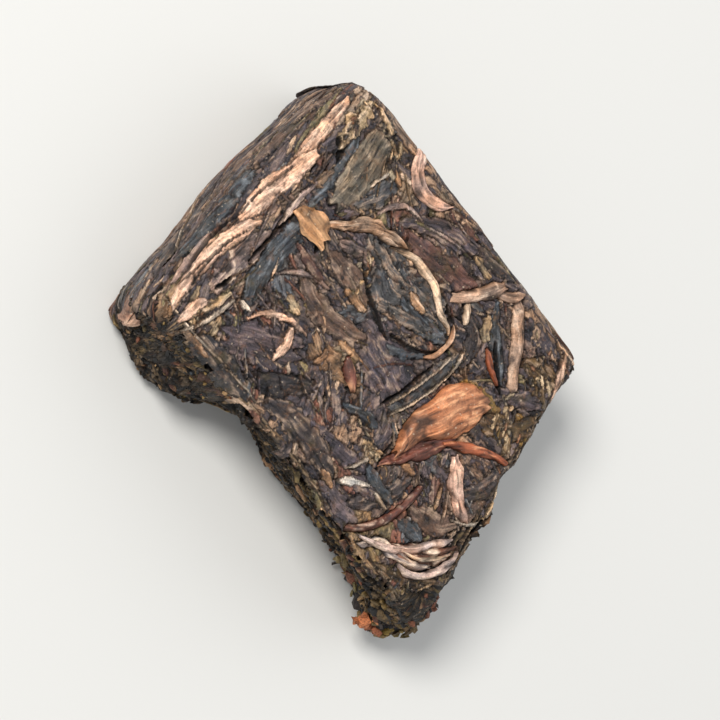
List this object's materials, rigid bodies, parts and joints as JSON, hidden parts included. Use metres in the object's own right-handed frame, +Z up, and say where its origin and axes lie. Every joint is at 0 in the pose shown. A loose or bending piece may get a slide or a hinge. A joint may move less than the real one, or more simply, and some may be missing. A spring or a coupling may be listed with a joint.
{
  "type": "broken piece of pressed pu-erh tea cake",
  "caption": "Flat corner piece of a pressed dark tea cake: moulded round rim and flank, whole pressed leaves on top, ragged layered breaks on the other sides.",
  "frame": {"origin": "middle of the bounding box in plan, on the plane that the piece rests on", "axes": "+Z up through the thickness; +Y from the moulded rim towards the opposite break, the longest side; +X from the moulded flank towards the other break"},
  "size_m": [0.0414, 0.0548, 0.016],
  "materials": {
    "pressed_leaf": "semi-matte dried leaf, dark slate brown with tan, orange and olive leaves"
  },
  "bodies": {
    "root": {"tea_piece": "pressed_leaf"}
  },
  "joints": []
}
